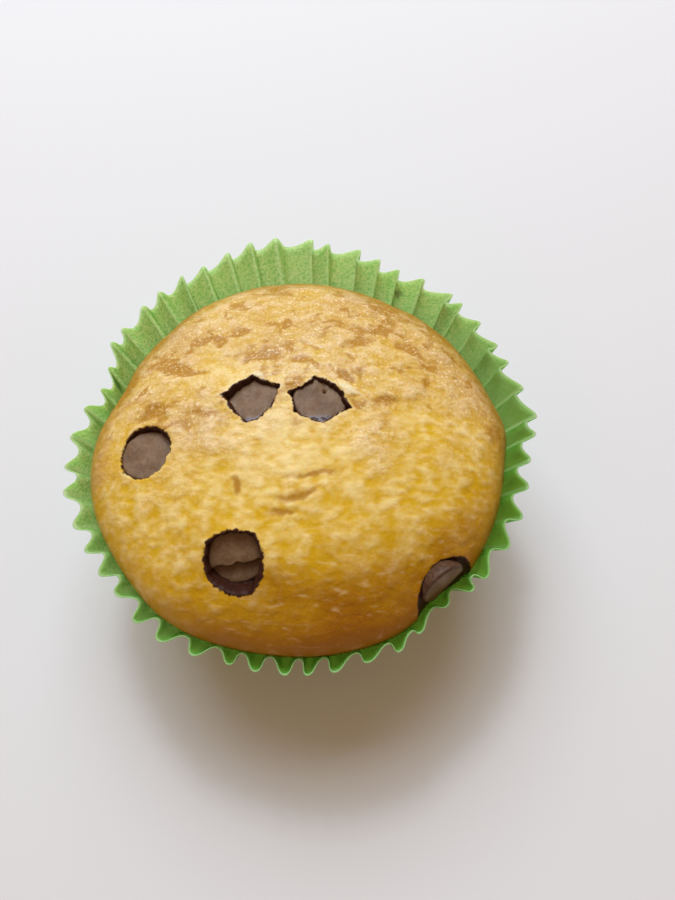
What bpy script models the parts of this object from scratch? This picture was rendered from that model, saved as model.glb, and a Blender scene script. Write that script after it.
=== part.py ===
"""A chocolate chip muffin in its fluted paper baking case.

Metres, +Z up. The origin is the middle of the case's base, on the surface that the muffin
stands on. Bearings are in degrees, clockwise from the back (+Y) as seen from above.
"""

import math

import bpy
from mathutils import Matrix, Vector

MM = 0.001

# The case is a round sheet pressed into a cup. Its flutes take up the sheet's spare width.
FLUTES = 51
BASE_RADIUS = 25.4 * MM
SHEET_RADIUS = 57.0 * MM
RIM_RADIUS = 37.0 * MM
PAPER_THICKNESS = 0.3 * MM
FOLD_POINTS = 4
WALL_SHARES = (1.0, 0.78, 0.5, 0.2)

# Folds are narrow and shallow at the far side, where the crumb pushed the paper flatter, and
# rounder and deeper at the near side. Both change with the cosine of the bearing.
FOLD_SHARPNESS = 1.15
SHARPNESS_SWING = 0.42
FOLD_REACH = 0.76
REACH_SWING = 0.17

# The flutes aren't evenly spaced: each drifts sideways by a sum of slow waves.
DRIFT_WAVES = ((3, 1.1, 0.4), (8, 0.55, 2.1), (17, 0.45, 1.3))

# Where the rim leans out or is pushed in: bearing, half width in degrees, and reach outward.
# A lean grows towards the free rim, as a power of the share of the wall's height.
LEAN_POWER = 3
RIM_LEANS = (
    (352.0, 15.0, 2.6 * MM),
    (30.0, 9.0, -1.9 * MM),
    (86.0, 8.0, 2.2 * MM),
    (142.0, 7.0, -1.6 * MM),
    (259.0, 7.0, 1.2 * MM),
    (284.0, 11.0, -3.4 * MM),
)

# The crumb fills the flutes part of the way, and its crust is a low dome that leans.
GAP = 0.4 * MM
CRUMB_FILL = 0.8
SMOOTH_WAVE = 0.65
CRUST_EDGE_SHARE = 0.83
CRUST_LEAN_SHARE = 0.115
CRUST_HIGH_BEARING = 175.0
DOME_HEIGHT = 14.0 * MM
SIDE_SHARES = (0.62, 0.25)
DOME_RINGS = 5

# A chip is a drop with a flat base, base outwards in the crust.
CHIP_RADIUS = 4.2 * MM
CHIP_HEIGHT = 6.2 * MM
CHIP_OUTLINE = ((0.93, 0.0), (1.0, 0.12), (0.95, 0.32), (0.7, 0.6), (0.3, 0.87))
CHIP_STEPS = 20
CHIP_GAP = 0.3 * MM
MOUTH_DEPTH = 4.0 * MM
MOUTH_FLARE = 0.6 * MM

# Each chip: bearing and distance from the middle, depth of its base's centre below the
# crust, how far and towards which bearing the base is tipped, and its size.
CHIPS = {
    "chip_left": (257.6, 24.2 * MM, 0.8 * MM, 15.0, 85.0, 1.0),
    "chip_back_left": (289.0, 7.2 * MM, 0.9 * MM, 8.0, 230.0, 1.0),
    "chip_back_right": (57.7, 4.0 * MM, 0.9 * MM, 6.0, 140.0, 1.0),
    "chip_front_left": (201.4, 23.8 * MM, 1.7 * MM, 14.0, 150.0, 1.0),
    "chip_edge_right": (138.5, 32.2 * MM, 1.7 * MM, 18.0, 138.5, 0.9),
}

# Colour, roughness and metallic value of each material.
PAPER_LOOK = ((0.13, 0.42, 0.09, 1.0), 0.6, 0.0)
CRUMB_LOOK = ((0.72, 0.42, 0.10, 1.0), 0.45, 0.0)
CHOCOLATE_LOOK = ((0.12, 0.06, 0.035, 1.0), 0.5, 0.0)

WALL_SLANT = SHEET_RADIUS - BASE_RADIUS
RIM_HEIGHT = math.sqrt(WALL_SLANT**2 - (RIM_RADIUS - BASE_RADIUS) ** 2)
EDGE_HEIGHT = CRUST_EDGE_SHARE * RIM_HEIGHT
RING_STEPS = FLUTES * FOLD_POINTS


def clear_scene():
    for obj in list(bpy.data.objects):
        bpy.data.objects.remove(obj, do_unlink=True)


def new_collection(name, hidden=False):
    collection = bpy.data.collections.new(name)
    collection.hide_render = hidden
    bpy.context.scene.collection.children.link(collection)
    return collection


def principled(name, look):
    colour, roughness, metallic = look
    material = bpy.data.materials.new(name)
    material.use_nodes = True
    shader = material.node_tree.nodes["Principled BSDF"]
    shader.inputs["Base Color"].default_value = colour
    shader.inputs["Roughness"].default_value = roughness
    shader.inputs["Metallic"].default_value = metallic
    material.diffuse_color = colour
    return material


def turned(name, profile, steps):
    """The solid or sheet that a profile of (radius, height) points sweeps about Z."""
    mesh = bpy.data.meshes.new(name)
    edges = [(i, i + 1) for i in range(len(profile) - 1)]
    mesh.from_pydata([(r, 0.0, z) for r, z in profile], edges, [])
    lathe = bpy.data.objects.new(name, mesh)
    bpy.context.scene.collection.objects.link(lathe)
    screw = lathe.modifiers.new("Screw", "SCREW")
    screw.steps = steps
    screw.render_steps = steps
    screw.use_merge_vertices = True
    screw.merge_threshold = 0.01 * MM
    graph = bpy.context.evaluated_depsgraph_get()
    swept = bpy.data.meshes.new_from_object(lathe.evaluated_get(graph))
    bpy.data.objects.remove(lathe, do_unlink=True)
    swept.name = name
    return swept


def place(name, mesh, collection, material, matrix=None):
    obj = bpy.data.objects.new(name, mesh)
    collection.objects.link(obj)
    mesh.materials.clear()
    mesh.materials.append(material)
    mesh.shade_smooth()
    mesh.set_sharp_from_angle(angle=math.radians(35))
    if matrix is not None:
        obj.matrix_world = matrix
    return obj


def bearing_of(x, y):
    return math.degrees(math.atan2(x, y)) % 360.0


def turn_from(bearing, other):
    """Signed angle in degrees between two bearings."""
    return (bearing - other + 180.0) % 360.0 - 180.0


def rim_lean(bearing):
    return sum(
        reach * math.exp(-((turn_from(bearing, middle) / width) ** 2))
        for middle, width, reach in RIM_LEANS
    )


def flute_drift(bearing):
    return sum(
        degrees * math.sin(count * math.radians(bearing) + phase)
        for count, degrees, phase in DRIFT_WAVES
    )


def flute_wave(bearing):
    """1 on an outward fold and 0 in the valley between two folds."""
    angle = math.radians(bearing)
    sharpness = FOLD_SHARPNESS + SHARPNESS_SWING * math.cos(angle)
    return ((1 + math.cos(FLUTES * angle)) / 2) ** sharpness


def flute_depth(bearing, share):
    """How far a fold stands out, from the sheet's width and the ring that it has to fit."""
    reach = FOLD_REACH - REACH_SWING * math.cos(math.radians(bearing))
    radius = BASE_RADIUS + share * (RIM_RADIUS - BASE_RADIUS)
    half_sheet = math.pi * (BASE_RADIUS + share * WALL_SLANT) / FLUTES
    half_ring = math.pi * radius / FLUTES
    return reach * math.sqrt(half_sheet**2 - half_ring**2)


def wall_point(bearing, share):
    """Radius and height of the case's wall along a fold, at a share of its slant height."""
    run = RIM_RADIUS - BASE_RADIUS
    lean = rim_lean(bearing)
    rise = math.sqrt(WALL_SLANT**2 - (run + lean) ** 2)
    return BASE_RADIUS + share * run + lean * share**LEAN_POWER, share * rise


def at_bearing(bearing, radius, height):
    angle = math.radians(bearing)
    return Vector((radius * math.sin(angle), radius * math.cos(angle), height))


def pleat_case(mesh):
    for vertex in mesh.vertices:
        x, y, z = vertex.co
        share = z / RIM_HEIGHT
        if share < 1e-6:
            continue
        bearing = bearing_of(x, y)
        drifted = bearing + flute_drift(bearing)
        radius, height = wall_point(drifted, share)
        radius -= flute_depth(drifted, share) * (1 - flute_wave(bearing))
        vertex.co = at_bearing(drifted, radius, height)


def make_case(collection, material):
    run = RIM_RADIUS - BASE_RADIUS
    wall = [(BASE_RADIUS + share * run, share * RIM_HEIGHT) for share in WALL_SHARES]
    mesh = turned("paper_case", [*wall, (BASE_RADIUS, 0.0), (0.0, 0.0)], RING_STEPS)
    pleat_case(mesh)
    case = place("paper_case", mesh, collection, material)
    shell = case.modifiers.new("Paper", "SOLIDIFY")
    shell.thickness = PAPER_THICKNESS
    shell.offset = -1.0
    return case


def edge_share(bearing):
    """How far up the case's wall the crust's edge lies."""
    high = math.cos(math.radians(turn_from(bearing, CRUST_HIGH_BEARING)))
    return CRUST_EDGE_SHARE + CRUST_LEAN_SHARE * high


def crumb_side(bearing, share, wave):
    """Radius and height of the crumb's side, which follows the case's flutes."""
    radius, height = wall_point(bearing, share)
    hollow = (1 - CRUMB_FILL * wave) * flute_depth(bearing, share)
    return radius - PAPER_THICKNESS - GAP - hollow, height


def crust_point(bearing, out, wave=SMOOTH_WAVE):
    """Point of the crust at a share, out, of the way from its middle to its edge."""
    edge, edge_height = crumb_side(bearing, edge_share(bearing), wave)
    rise = math.sqrt(max(0.0, 1 - out**2))
    height = EDGE_HEIGHT + (edge_height - EDGE_HEIGHT) * out + DOME_HEIGHT * rise
    return at_bearing(bearing, edge * out, height)


def shape_crumb(mesh):
    """Turn the plain cup and dome into the crumb: flutes on its side, a leaning crust."""
    for vertex in mesh.vertices:
        x, y, z = vertex.co
        bearing = bearing_of(x, y)
        drifted = bearing + flute_drift(bearing)
        out = math.hypot(x, y) / RIM_RADIUS
        if z > EDGE_HEIGHT + 0.01 * MM:
            vertex.co = crust_point(drifted, out)
        elif out > 0.01:
            share = z / EDGE_HEIGHT * edge_share(drifted)
            radius, height = crumb_side(drifted, share, flute_wave(bearing))
            vertex.co = at_bearing(drifted, radius, max(height, z))


def crumb_profile():
    """Dome, side and flat underside of the crumb before it is shaped."""
    floor = PAPER_THICKNESS + GAP
    points = [(0.0, EDGE_HEIGHT + DOME_HEIGHT)]
    for ring in range(1, DOME_RINGS + 1):
        turn = math.radians(90.0 * (1 - (ring / DOME_RINGS) ** 0.8))
        points.append((RIM_RADIUS * math.cos(turn), EDGE_HEIGHT + DOME_HEIGHT * math.sin(turn)))
    points += [(BASE_RADIUS, share * EDGE_HEIGHT) for share in SIDE_SHARES]
    points += [(BASE_RADIUS, floor), (0.0, floor)]
    return points


def chip_profile():
    """A drop's outline: flat base, rounded shoulder, and a side that runs in to its tip."""
    outline = [(CHIP_RADIUS * out, -CHIP_HEIGHT * down) for out, down in CHIP_OUTLINE]
    return [(0.0, 0.0), *outline, (0.0, -CHIP_HEIGHT)]


def pocket_profile():
    """The chip's side grown by the gap, with an open mouth above its base."""
    mouth = CHIP_RADIUS + CHIP_GAP
    side = [(r + CHIP_GAP, z) for r, z in chip_profile()[2:-1]]
    bottom = (0.0, -CHIP_HEIGHT - CHIP_GAP)
    return [(0.0, MOUTH_DEPTH), (mouth + MOUTH_FLARE, MOUTH_DEPTH), (mouth, 0.0), *side, bottom]


def crust_frame(bearing, distance):
    """Point and outward normal of the crust at a bearing and a distance from the middle."""
    out = distance / crumb_side(bearing, edge_share(bearing), SMOOTH_WAVE)[0]
    outward = crust_point(bearing, out + 0.01) - crust_point(bearing, out - 0.01)
    clockwise = crust_point(bearing + 1.0, out) - crust_point(bearing - 1.0, out)
    return crust_point(bearing, out), clockwise.cross(outward).normalized()


def chip_matrix(bearing, distance, sink, tip_degrees, tip_bearing, size):
    point, normal = crust_frame(bearing, distance)
    axis = Vector((0, 0, 1)).cross(at_bearing(tip_bearing, 1.0, 0.0))
    facing = Matrix.Rotation(math.radians(tip_degrees), 3, axis) @ normal
    turn = facing.to_track_quat("Z", "Y").to_matrix().to_4x4()
    return Matrix.Translation(point - normal * sink) @ turn @ Matrix.Scale(size, 4)


def make_cutter(name, mesh, collection, matrix):
    cutter = bpy.data.objects.new(name, mesh)
    collection.objects.link(cutter)
    cutter.matrix_world = matrix
    cutter.hide_render = True
    cutter.display_type = "WIRE"
    return cutter


def make_crumb(collection, cutters, material):
    mesh = turned("crumb", crumb_profile(), RING_STEPS)
    shape_crumb(mesh)
    crumb = place("crumb", mesh, collection, material)
    for name, spec in CHIPS.items():
        pocket = turned(name + "_pocket", pocket_profile(), CHIP_STEPS)
        cut = crumb.modifiers.new(name, "BOOLEAN")
        cut.operation = "DIFFERENCE"
        cut.object = make_cutter(name + "_pocket", pocket, cutters, chip_matrix(*spec))
    return crumb


def make_chips(collection, material):
    for name, spec in CHIPS.items():
        mesh = turned(name, chip_profile(), CHIP_STEPS)
        place(name, mesh, collection, material, chip_matrix(*spec))


def main():
    clear_scene()
    muffin = new_collection("muffin")
    cutters = new_collection("cutters", hidden=True)
    make_case(muffin, principled("green_baking_paper", PAPER_LOOK))
    make_crumb(muffin, cutters, principled("golden_crumb", CRUMB_LOOK))
    make_chips(muffin, principled("chocolate", CHOCOLATE_LOOK))


main()
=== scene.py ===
"""Looks of a chocolate chip muffin in its fluted baking case, laid out as a Blender add-on.

Metres, +Z up. Bearings run clockwise from the back (+Y) as seen from above.
"""

import math

import bpy
from bpy.props import FloatProperty, FloatVectorProperty, IntProperty, PointerProperty
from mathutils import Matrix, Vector


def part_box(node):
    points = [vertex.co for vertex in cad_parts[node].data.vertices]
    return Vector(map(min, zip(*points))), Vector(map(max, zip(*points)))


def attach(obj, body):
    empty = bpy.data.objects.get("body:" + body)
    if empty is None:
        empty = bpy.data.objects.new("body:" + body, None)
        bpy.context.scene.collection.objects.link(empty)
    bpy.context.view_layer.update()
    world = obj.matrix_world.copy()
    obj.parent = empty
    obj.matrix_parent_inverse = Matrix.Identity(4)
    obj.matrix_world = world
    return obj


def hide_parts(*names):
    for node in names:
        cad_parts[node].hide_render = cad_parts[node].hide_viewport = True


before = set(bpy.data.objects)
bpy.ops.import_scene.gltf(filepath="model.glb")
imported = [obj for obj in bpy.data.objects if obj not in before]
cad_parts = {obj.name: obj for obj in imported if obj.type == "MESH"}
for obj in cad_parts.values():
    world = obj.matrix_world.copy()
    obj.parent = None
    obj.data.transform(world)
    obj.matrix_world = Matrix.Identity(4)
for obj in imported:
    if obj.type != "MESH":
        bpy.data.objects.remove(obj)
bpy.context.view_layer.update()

bl_info = {
    "name": "Muffin Maker",
    "version": (1, 0, 0),
    "blender": (4, 5, 0),
    "location": "View3D > Sidebar > Muffin",
    "description": "Builds a chocolate chip muffin in a fluted paper case",
    "category": "Add Mesh",
}

MM = 0.001
BODY = "root"
CHIP_NODES = tuple(sorted(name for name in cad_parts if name.startswith("chip_")))

# The case's flutes drift sideways by a sum of slow waves: count round the rim, turn, phase.
DRIFT_WAVES = ((3, 0.0192, 0.4), (8, 0.0096, 2.1), (17, 0.00785, 1.3))

# Where the rim leans out or is pushed in: bearing, half width in degrees, and reach outward.
RIM_LEANS = (
    (352.0, 15.0, 2.6 * MM),
    (30.0, 9.0, -1.9 * MM),
    (86.0, 8.0, 2.2 * MM),
    (142.0, 7.0, -1.6 * MM),
    (213.0, 14.0, 0.9 * MM),
    (255.0, 20.0, 1.1 * MM),
    (284.0, 11.0, -3.4 * MM),
)
LEAN_POWER = 3

# Where the paper's folds are pressed flatter: bearing, half width in degrees, share lost.
FLATTENED = (152.0, 20.0, 0.26)

# Where a fold is tucked in, painted shade of a dark pocket: bearing and half width in degrees.
SHADED_POCKET = (287.0, 1.6)

# Where the crumb's side stands back from the paper: bearing, half width in degrees, distance.
SET_BACK = (303.0, 15.0, 0.8 * MM)

# Openings in the crust round the chips: how far the middle is moved from the chip's (right,
# back), radius, depth of the floor and of the cracks, width of the burnt ring, how far the
# opening's direction is turned from the chip's to straight up, and the cracks as (direction
# from +X, reach, half width in degrees).
OPENINGS = {
    "chip_left": (
        (0.0, -0.1 * MM), 4.1 * MM, 2.4 * MM, 2.4 * MM, 0.15 * MM, 0.0,
        ((20.0, 0.2 * MM, 25.0),),
    ),
    "chip_back_left": (
        (0.0, 0.0), 2.9 * MM, 1.9 * MM, 1.9 * MM, 0.35 * MM, 0.0,
        ((24.0, 1.5 * MM, 14.0), (93.0, 0.7 * MM, 12.0), (175.0, 1.5 * MM, 16.0),
         (265.0, 1.3 * MM, 40.0)),
    ),
    "chip_back_right": (
        (0.0, 0.0), 2.8 * MM, 1.9 * MM, 1.9 * MM, 0.35 * MM, 0.0,
        ((170.0, 1.9 * MM, 14.0), (103.0, 0.8 * MM, 14.0), (342.0, 1.8 * MM, 16.0),
         (275.0, 1.3 * MM, 40.0), (214.0, 1.4 * MM, 22.0)),
    ),
    "chip_front_left": (
        (0.0, -0.2 * MM), 3.8 * MM, 3.9 * MM, 3.9 * MM, 0.6 * MM, 0.0,
        ((150.0, 0.4 * MM, 18.0), (55.0, 0.5 * MM, 14.0), (300.0, 0.7 * MM, 20.0)),
    ),
    "chip_edge_right": (
        (0.1 * MM, -0.6 * MM), 3.8 * MM, 3.6 * MM, 0.4 * MM, 0.3 * MM, 0.4,
        ((311.0, 5.0 * MM, 50.0), (50.0, 0.6 * MM, 30.0), (235.0, 1.0 * MM, 30.0)),
    ),
}

# How far the chips that the crust has lifted while baking sit from their resting places.
CHIP_LIFTS = {
    "chip_left": (0.45 * MM, -0.50 * MM, 0.75 * MM),
    "chip_back_left": (0.0, 0.0, 0.25 * MM),
    "chip_back_right": (0.0, 0.0, 0.25 * MM),
    "chip_front_left": (0.0, 0.0, 0.35 * MM),
    "chip_edge_right": (1.1 * MM, -1.9 * MM, 0.9 * MM),
}

# What shows on each chip's base: seed, a crack across it as (direction from +X, distance from
# the middle, drop), a pinhole as (right, back), how much pale bloom its lower edge has, and how
# much painted shade darkens the whole base, for a chip that sits in shade.
NO_CRACK = (270.0, 9.0 * MM, 0.0)
NO_PINHOLE = (9.0 * MM, 9.0 * MM)
CHIP_MARKS = {
    "chip_left": (3.0, NO_CRACK, NO_PINHOLE, 0.1, 0.0),
    "chip_back_left": (11.0, NO_CRACK, NO_PINHOLE, 0.9, 0.0),
    "chip_back_right": (5.0, NO_CRACK, (0.7 * MM, 1.5 * MM), 0.9, 0.0),
    "chip_front_left": (17.0, (282.0, 1.0 * MM, 0.9 * MM), NO_PINHOLE, 0.0, 0.0),
    "chip_edge_right": (23.0, (310.0, 1.6 * MM, 0.6 * MM), NO_PINHOLE, 0.0, 0.6),
}

# Smooth toasted hollows and pale swellings of the crust, in millimetres and degrees: place of
# the middle from above (to the right, to the back), half length, half width, turn of the long
# side from +X, and height (negative is a hollow).
HOLLOWS = (
    (-10.2, 15.5, 1.7, 0.9, 15.0, -0.35),
    (-12.6, 13.4, 1.1, 0.7, 40.0, -0.30),
    (-4.7, 17.2, 1.2, 0.8, -20.0, -0.30),
    (-18.2, 8.2, 3.6, 0.8, -12.0, -0.40),
    (-6.0, 9.8, 3.4, 1.1, 8.0, -0.45),
    (0.4, 9.4, 2.0, 0.9, -8.0, -0.30),
    (9.8, 13.3, 2.6, 0.9, 28.0, -0.45),
    (13.3, 2.0, 1.9, 1.0, 18.0, -0.55),
    (7.4, 5.9, 1.6, 0.8, -38.0, -0.40),
    (17.6, 12.8, 2.0, 0.45, -25.0, -0.25),
    (20.4, 9.9, 1.8, 0.45, -40.0, -0.25),
    (14.3, 22.0, 1.3, 0.8, -20.0, -0.30),
    (25.2, 14.0, 2.4, 0.6, -55.0, -0.30),
    (2.8, -10.4, 3.8, 0.6, 4.0, -0.25),
    (0.2, -13.7, 2.8, 0.7, 10.0, -0.25),
    (-1.4, -16.0, 2.4, 0.6, 8.0, -0.20),
    (-8.5, -11.9, 1.6, 0.7, -60.0, -0.20),
    (-22.6, 0.6, 2.9, 1.5, 12.0, -0.80),
    (8.0, 3.5, 2.2, 0.9, -38.0, 0.75),
    (-6.3, 5.6, 1.2, 0.9, 20.0, 0.35),
)

# Dark brown patches on the inside of the paper: middle and reach.
DARK_PATCHES = (
    ((16.2 * MM, 27.6 * MM, 26.8 * MM), 1.9 * MM),
    ((22.6 * MM, 28.8 * MM, 26.6 * MM), 1.5 * MM),
)

# Colours of the small marks, which the panel leaves alone.
# Pale green of the painted highlight on the paper's fold ridges and rim edge.
FOLD_HIGHLIGHT = (0.45, 0.68, 0.34, 1.0)
# Dark green of the painted shade in the tucked fold's pocket.
POCKET_SHADE = (0.008, 0.075, 0.010, 1.0)
DARK_PATCH = (0.035, 0.020, 0.006, 1.0)
# Tan of the far side, partly the crust's colour and partly painted sheen.
TAN_AND_SHEEN = (0.61, 0.37, 0.15, 1.0)
# Pinkish colour of the painted sheen.
PAINTED_SHEEN = (0.86, 0.60, 0.36, 1.0)
CREAM = (0.90, 0.79, 0.50, 1.0)
FRECKLE = (0.54, 0.30, 0.07, 1.0)
# Pale gold of the painted glints.
PAINTED_GLINT = (1.0, 0.80, 0.46, 1.0)
BLOOM = (0.24, 0.22, 0.24, 1.0)

# The stage: how far the floor reaches each way, the wide window behind the muffin with a bright
# patch of sky in it, and where the camera looks and how it stands.
FLOOR_REACH = 1.5
WINDOW_PLACE = Vector((-0.10, 0.53, 0.735))
WINDOW_SIZE = (0.78, 0.56)
WINDOW_SHARE = 0.8
BRIGHT_SKY_SIZE = (0.15, 0.12)
BRIGHT_SKY_SHARE = 0.24
COOL_LIGHT = (0.76, 0.87, 1.0)
WARM_ROOM = (1.0, 0.67, 0.42, 1.0)
CAMERA_TARGET = (6.0 * MM, -3.1 * MM)
TARGET_BELOW_RIM = 0.9 * MM
CAMERA_ELEVATION = math.radians(68.6)
CAMERA_DISTANCE = 108.1 * MM


class CaseSettings(bpy.types.PropertyGroup):
    flutes: IntProperty(name="Flutes", description="Folds round the rim", default=51, min=12)
    base_radius: FloatProperty(
        name="Base radius", description="Radius of the flat base", default=25.4 * MM,
        subtype="DISTANCE", unit="LENGTH", precision=4,
    )
    sheet_radius: FloatProperty(
        name="Sheet radius", description="Radius of the sheet before it is pressed",
        default=57.0 * MM, subtype="DISTANCE", unit="LENGTH", precision=4,
    )
    rim_radius: FloatProperty(
        name="Rim radius", description="Distance of the fold tips from the middle",
        default=37.0 * MM, subtype="DISTANCE", unit="LENGTH", precision=4,
    )
    thickness: FloatProperty(
        name="Thickness", description="Thickness of the paper", default=0.14 * MM,
        subtype="DISTANCE", unit="LENGTH", precision=5,
    )
    sharpness: FloatProperty(
        name="Fold sharpness", description="Higher is a sharper fold and a broader valley",
        default=1.15, min=0.5, max=3.0,
    )
    colour: FloatVectorProperty(
        name="Paper", description="Colour of the dyed paper", subtype="COLOR", size=4,
        default=(0.17, 0.42, 0.10, 1.0), min=0.0, max=1.0,
    )
    # The thick paper's colour is also painted over the near and right sides as shade.
    thick_and_shaded_colour: FloatVectorProperty(
        name="Thick paper", description="Colour where the fibres are dense", subtype="COLOR",
        size=4, default=(0.055, 0.20, 0.018, 1.0), min=0.0, max=1.0,
    )
    light_colour: FloatVectorProperty(
        name="Thin paper", description="Colour where the fibres are sparse", subtype="COLOR",
        size=4, default=(0.47, 0.60, 0.26, 1.0), min=0.0, max=1.0,
    )


class CrumbSettings(bpy.types.PropertyGroup):
    edge_share: FloatProperty(
        name="Edge height", description="How far up the case's wall the crust's edge lies",
        default=0.84, min=0.3, max=1.0,
    )
    edge_lean: FloatProperty(
        name="Edge lean", description="How much higher the edge is on its high side",
        default=0.115, min=0.0, max=0.3,
    )
    high_bearing: FloatProperty(
        name="High side", description="Bearing of the crust's high side",
        default=math.radians(187.0), subtype="ANGLE", unit="ROTATION",
    )
    dome_height: FloatProperty(
        name="Dome height", description="Height of the dome above its edge",
        default=14.0 * MM, subtype="DISTANCE", unit="LENGTH", precision=4,
    )
    lump_size: FloatProperty(
        name="Lump size", description="Width of the crust's small lumps", default=1.35 * MM,
        subtype="DISTANCE", unit="LENGTH", precision=4,
    )
    lump_height: FloatProperty(
        name="Lump height", description="Height of the crust's small lumps",
        default=0.30 * MM, subtype="DISTANCE", unit="LENGTH", precision=5,
    )
    seed: IntProperty(name="Seed", description="Picks another crust", default=7)
    golden: FloatVectorProperty(
        name="Golden", description="Colour of the baked crust", subtype="COLOR", size=4,
        default=(0.72, 0.43, 0.008, 1.0), min=0.0, max=1.0,
    )
    pale: FloatVectorProperty(
        name="Pale", description="Colour of the pale lumps", subtype="COLOR", size=4,
        default=(0.93, 0.74, 0.32, 1.0), min=0.0, max=1.0,
    )
    # The deep colour is partly the near side's darker toast and partly painted shade, as that
    # side faces away from the window.
    deep: FloatVectorProperty(
        name="Deep", description="Colour of the crust's smooth near side", subtype="COLOR",
        size=4, default=(0.35, 0.125, 0.0005, 1.0), min=0.0, max=1.0,
    )
    toasted: FloatVectorProperty(
        name="Toasted", description="Colour of the toasted hollows", subtype="COLOR", size=4,
        default=(0.47, 0.215, 0.012, 1.0), min=0.0, max=1.0,
    )


class ChipSettings(bpy.types.PropertyGroup):
    chocolate: FloatVectorProperty(
        name="Chocolate", description="Colour of the chips' dusty base", subtype="COLOR",
        size=4, default=(0.145, 0.077, 0.034, 1.0), min=0.0, max=1.0,
    )
    dusty: FloatVectorProperty(
        name="Dusty", description="Colour of the base where it is dusty", subtype="COLOR",
        size=4, default=(0.25, 0.15, 0.080, 1.0), min=0.0, max=1.0,
    )
    # The melted chocolate's colour is also painted as shade over a chip that sits in shade.
    dark: FloatVectorProperty(
        name="Melted and shaded", description="Colour of melted and burnt chocolate", subtype="COLOR",
        size=4, default=(0.043, 0.012, 0.006, 1.0), min=0.0, max=1.0,
    )


class StageSettings(bpy.types.PropertyGroup):
    floor_colour: FloatVectorProperty(
        name="Floor", description="Colour of the plain floor", subtype="COLOR", size=4,
        default=(0.80, 0.80, 0.80, 1.0), min=0.0, max=1.0,
    )
    key_power: FloatProperty(
        name="Key light", description="Power of the large light behind the muffin",
        default=9.3, min=0.0, unit="POWER",
    )
    sky_strength: FloatProperty(
        name="Sky", description="Strength of the even light from all round", default=0.37,
        min=0.0,
    )
    focal_length: FloatProperty(
        name="Focal length", description="Lens of the camera in millimetres", default=27.04,
        min=1.0, subtype="DISTANCE_CAMERA",
    )


class Field:
    """A node's output, so that maths on it reads as a Python expression."""

    def __init__(self, nodes, socket):
        self.nodes = nodes
        self.socket = socket

    def math(self, operation, *values):
        return self.nodes.add("ShaderNodeMath", {"operation": operation}, dict(enumerate(values)))

    def __add__(self, other):
        return self.math("ADD", self, other)

    def __sub__(self, other):
        return self.math("SUBTRACT", self, other)

    def __mul__(self, other):
        return self.math("MULTIPLY", self, other)

    def __truediv__(self, other):
        return self.math("DIVIDE", self, other)

    def __pow__(self, other):
        return self.math("POWER", self, other)

    def __rsub__(self, other):
        return self.math("SUBTRACT", other, self)

    def __rtruediv__(self, other):
        return self.math("DIVIDE", other, self)

    def __neg__(self):
        return self * -1.0

    __radd__ = __add__
    __rmul__ = __mul__

    def sin(self):
        return self.math("SINE", self)

    def cos(self):
        return self.math("COSINE", self)

    def sqrt(self):
        return self.math("SQRT", self)

    def exp(self):
        return self.math("EXPONENT", self)

    def size(self):
        return self.math("ABSOLUTE", self)

    def floor(self):
        return self.math("FLOOR", self)

    def at_least(self, other):
        return self.math("MAXIMUM", self, other)

    def at_most(self, other):
        return self.math("MINIMUM", self, other)

    def above(self, other):
        return self.math("GREATER_THAN", self, other)

    def rises(self, low, high):
        """0 up to low, 1 from high on, and a smooth step between them."""
        return self.nodes.add(
            "ShaderNodeMapRange", {"interpolation_type": "SMOOTHSTEP"},
            {"Value": self, "From Min": low, "From Max": high},
        )


class Nodes:
    """Adds nodes to a shader or geometry tree."""

    def __init__(self, tree):
        self.tree = tree

    def add(self, kind, settings=None, values=None, output=0):
        """A new node's output. Its settings are set first, then its sockets' values or links."""
        node = self.tree.nodes.new(kind)
        for name, value in (settings or {}).items():
            setattr(node, name, value)
        self.feed(node, values or {})
        return Field(self, node.outputs[output])

    def feed(self, node, values):
        """Link or set a node's sockets."""
        for key, value in values.items():
            if isinstance(value, Field):
                self.tree.links.new(value.socket, node.inputs[key])
            else:
                node.inputs[key].default_value = value

    def beside(self, field, output):
        """Another output of the node that a field comes from."""
        return Field(self, field.socket.node.outputs[output])

    def vector(self, operation, *values, output=0):
        settings = {"operation": operation}
        return self.add("ShaderNodeVectorMath", settings, dict(enumerate(values)), output)

    def dot(self, first, second):
        return self.vector("DOT_PRODUCT", first, second, output="Value")

    def scaled(self, vector, factor):
        return self.add(
            "ShaderNodeVectorMath", {"operation": "SCALE"}, {0: vector, "Scale": factor}
        )

    def join(self, x, y, z):
        return self.add("ShaderNodeCombineXYZ", {}, {"X": x, "Y": y, "Z": z})

    def split(self, vector):
        x = self.add("ShaderNodeSeparateXYZ", {}, {0: vector})
        return x, self.beside(x, 1), self.beside(x, 2)

    def noise(self, where, width, detail=2.0, roughness=0.5):
        """Noise from about 0 to 1, with features of about this width."""
        return self.add(
            "ShaderNodeTexNoise", {},
            {"Vector": where, "Scale": 1.0 / width, "Detail": detail, "Roughness": roughness},
        )

    def blend(self, factor, first, second):
        """Mix of two colours by a factor."""
        return self.add(
            "ShaderNodeMix", {"data_type": "RGBA"}, {"Factor": factor, 6: first, 7: second},
            output=2,
        )

    def attribute(self, name):
        return self.add("ShaderNodeAttribute", {"attribute_name": name}, {}, output="Fac")


def new_material(name):
    """A material, the nodes of its tree and its shader."""
    material = bpy.data.materials.new(name)
    material.use_nodes = True
    return material, Nodes(material.node_tree), material.node_tree.nodes["Principled BSDF"]


# Shape of the case and of the crumb in it, as maths on fields.


def turn_from(bearing, other):
    """Signed turn between two bearings, in radians."""
    return bearing.math("WRAP", bearing - other, math.pi, -math.pi)


def near_bearing(bearing, middle, width):
    """1 at a bearing, fading to 0 on both sides over its half width in degrees."""
    away = turn_from(bearing, math.radians(middle)) / math.radians(width)
    return (-(away * away)).exp()


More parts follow.
